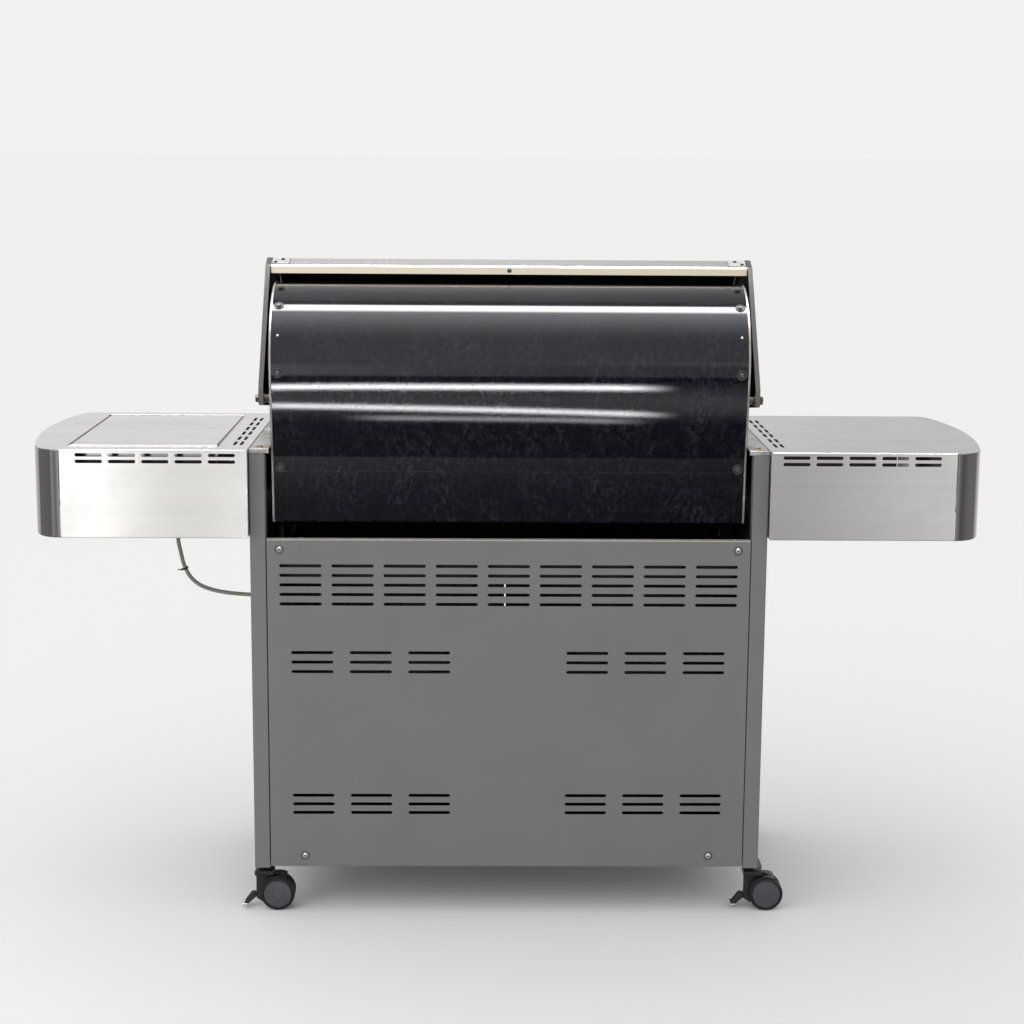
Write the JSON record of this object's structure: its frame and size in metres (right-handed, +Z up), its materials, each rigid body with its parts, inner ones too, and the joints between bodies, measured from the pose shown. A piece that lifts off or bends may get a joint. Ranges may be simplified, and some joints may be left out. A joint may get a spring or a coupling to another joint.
{
  "type": "gas barbecue grill",
  "caption": "Free-standing gas barbecue on a wheeled cart with roll-top hood, side burner, side shelves, doors and a pull-out drip drawer.",
  "frame": {"origin": "on the floor under the middle of the whole grill, casters included", "axes": "+Z up, -Y towards the user at the front, +X to the user's right, where the side burner is"},
  "size_m": [1.8444, 0.616, 1.2595],
  "materials": {
    "grey_paint": "satin powder coat",
    "stainless": "brushed",
    "dark_stainless": "brushed, darkened by heat and weather",
    "black_enamel": "glossy vitreous enamel",
    "aluminised_steel": "dull, heat stained",
    "cast_iron": "matte enamelled iron",
    "chrome": "polished",
    "black_plastic": "matte",
    "brass": "satin",
    "braided_hose": "steel braid under clear sleeve",
    "cap_grey": "satin, heat stained",
    "rubber_tread": "matte"
  },
  "bodies": {
    "cart": {"cart_side_left": "grey_paint", "cart_side_right": "grey_paint", "rear_panel": "grey_paint", "bottom_shelf": "grey_paint", "control_panel": "stainless", "shelf_left": "stainless", "shelf_right": "stainless", "side_burner_bowl": "stainless", "flame_tamers": "stainless", "burner_1": "stainless", "burner_2": "stainless", "burner_3": "stainless", "burner_4": "stainless", "burner_5": "stainless", "shelf_cap_left": "dark_stainless", "shelf_cap_right": "dark_stainless", "back_panel_upper": "black_enamel", "back_panel_lower": "black_enamel", "firebox_front": "black_enamel", "firebox_end_left": "aluminised_steel", "firebox_end_right": "aluminised_steel", "hopper": "aluminised_steel", "cooking_grate_1": "cast_iron", "cooking_grate_2": "cast_iron", "side_burner_head": "cast_iron", "side_burner_grate": "cast_iron", "warming_rack": "chrome", "hose_grommet": "black_plastic", "gas_manifold": "brass", "side_burner_valve": "brass", "gas_hose": "braided_hose"},
    "hood": {"hood_skin": "stainless", "hood_cap_left": "cap_grey", "hood_cap_right": "cap_grey", "hood_handle": "chrome", "thermometer": "chrome"},
    "left_door": {"door_left": "stainless", "door_handle_left": "chrome"},
    "right_door": {"door_right": "stainless", "door_handle_right": "chrome"},
    "drawer": {"grease_tray": "stainless", "drawer_front": "stainless"},
    "burner_lid": {"side_burner_lid": "stainless"},
    "main_knob_1": {"knob_1": "black_plastic"},
    "main_knob_2": {"knob_2": "black_plastic"},
    "main_knob_3": {"knob_3": "black_plastic"},
    "main_knob_4": {"knob_4": "black_plastic"},
    "main_knob_5": {"knob_5": "black_plastic"},
    "side_knob": {"side_burner_knob": "black_plastic"},
    "igniter": {"igniter_button": "black_plastic"},
    "caster_rear_right": {"caster_housing_rear_right": "black_plastic"},
    "wheels_rear_right": {"caster_wheels_rear_right": "rubber_tread"},
    "brake_rear_right": {"brake_pedal_rear_right": "chrome"},
    "caster_rear_left": {"caster_housing_rear_left": "black_plastic"},
    "wheels_rear_left": {"caster_wheels_rear_left": "rubber_tread"},
    "brake_rear_left": {"brake_pedal_rear_left": "chrome"},
    "caster_front_right": {"caster_housing_front_right": "black_plastic"},
    "wheels_front_right": {"caster_wheels_front_right": "rubber_tread"},
    "caster_front_left": {"caster_housing_front_left": "black_plastic"},
    "wheels_front_left": {"caster_wheels_front_left": "rubber_tread"}
  },
  "joints": [
    {"name": "hood_hinge", "type": "hinge", "parent": "cart", "child": "hood", "pos_m": [0, 0.244, 1.005], "axis": [-1, 0, 0], "range_deg": [0, 85]},
    {"name": "left_door_hinge", "type": "hinge", "parent": "cart", "child": "left_door", "pos_m": [-0.481, -0.243, 0.369], "axis": [0, 0, -1], "range_deg": [0, 110]},
    {"name": "right_door_hinge", "type": "hinge", "parent": "cart", "child": "right_door", "pos_m": [0.481, -0.243, 0.369], "axis": [0, 0, 1], "range_deg": [0, 110]},
    {"name": "drawer_slide", "type": "slide", "parent": "cart", "child": "drawer", "axis": [0, -1, 0], "range_m": [0, 0.35]},
    {"name": "burner_lid_hinge", "type": "hinge", "parent": "cart", "child": "burner_lid", "pos_m": [0.6925, 0.2495, 0.912], "axis": [-1, 0, 0], "range_deg": [0, 92]},
    {"name": "main_knob_1_turn", "type": "hinge", "parent": "cart", "child": "main_knob_1", "pos_m": [-0.35, -0.273, 0.842], "axis": [0, -1, 0], "range_deg": [0, 200]},
    {"name": "main_knob_2_turn", "type": "hinge", "parent": "cart", "child": "main_knob_2", "pos_m": [-0.175, -0.273, 0.842], "axis": [0, -1, 0], "range_deg": [0, 200]},
    {"name": "main_knob_3_turn", "type": "hinge", "parent": "cart", "child": "main_knob_3", "pos_m": [0, -0.273, 0.842], "axis": [0, -1, 0], "range_deg": [0, 200]},
    {"name": "main_knob_4_turn", "type": "hinge", "parent": "cart", "child": "main_knob_4", "pos_m": [0.175, -0.273, 0.842], "axis": [0, -1, 0], "range_deg": [0, 200]},
    {"name": "main_knob_5_turn", "type": "hinge", "parent": "cart", "child": "main_knob_5", "pos_m": [0.35, -0.273, 0.842], "axis": [0, -1, 0], "range_deg": [0, 200]},
    {"name": "side_knob_turn", "type": "hinge", "parent": "cart", "child": "side_knob", "pos_m": [0.6925, -0.233, 0.832], "axis": [0, -1, 0], "range_deg": [0, 200]},
    {"name": "igniter_press", "type": "slide", "parent": "cart", "child": "igniter", "axis": [0, 1, 0], "range_m": [0, 0.005], "stiffness_N_per_m": 400, "springref_m": -0.002},
    {"name": "caster_rear_right_swivel", "type": "hinge", "parent": "cart", "child": "caster_rear_right", "pos_m": [0.479, 0.256, 0.08], "axis": [0, 0, 1], "continuous": true},
    {"name": "wheels_rear_right_roll", "type": "hinge", "parent": "caster_rear_right", "child": "wheels_rear_right", "pos_m": [0.448, 0.256, 0.033], "axis": [0, 1, 0], "continuous": true},
    {"name": "brake_rear_right_lift", "type": "hinge", "parent": "caster_rear_right", "child": "brake_rear_right", "pos_m": [0.496, 0.256, 0.027], "axis": [0, -1, 0], "range_deg": [0, 16]},
    {"name": "caster_rear_left_swivel", "type": "hinge", "parent": "cart", "child": "caster_rear_left", "pos_m": [-0.479, 0.256, 0.08], "axis": [0, 0, 1], "continuous": true},
    {"name": "wheels_rear_left_roll", "type": "hinge", "parent": "caster_rear_left", "child": "wheels_rear_left", "pos_m": [-0.51, 0.256, 0.033], "axis": [0, 1, 0], "continuous": true},
    {"name": "brake_rear_left_lift", "type": "hinge", "parent": "caster_rear_left", "child": "brake_rear_left", "pos_m": [-0.462, 0.256, 0.027], "axis": [0, -1, 0], "range_deg": [0, 16]},
    {"name": "caster_front_right_swivel", "type": "hinge", "parent": "cart", "child": "caster_front_right", "pos_m": [0.479, -0.2, 0.08], "axis": [0, 0, 1], "continuous": true},
    {"name": "wheels_front_right_roll", "type": "hinge", "parent": "caster_front_right", "child": "wheels_front_right", "pos_m": [0.448, -0.2, 0.033], "axis": [0, 1, 0], "continuous": true},
    {"name": "caster_front_left_swivel", "type": "hinge", "parent": "cart", "child": "caster_front_left", "pos_m": [-0.479, -0.2, 0.08], "axis": [0, 0, 1], "continuous": true},
    {"name": "wheels_front_left_roll", "type": "hinge", "parent": "caster_front_left", "child": "wheels_front_left", "pos_m": [-0.51, -0.2, 0.033], "axis": [0, 1, 0], "continuous": true}
  ]
}
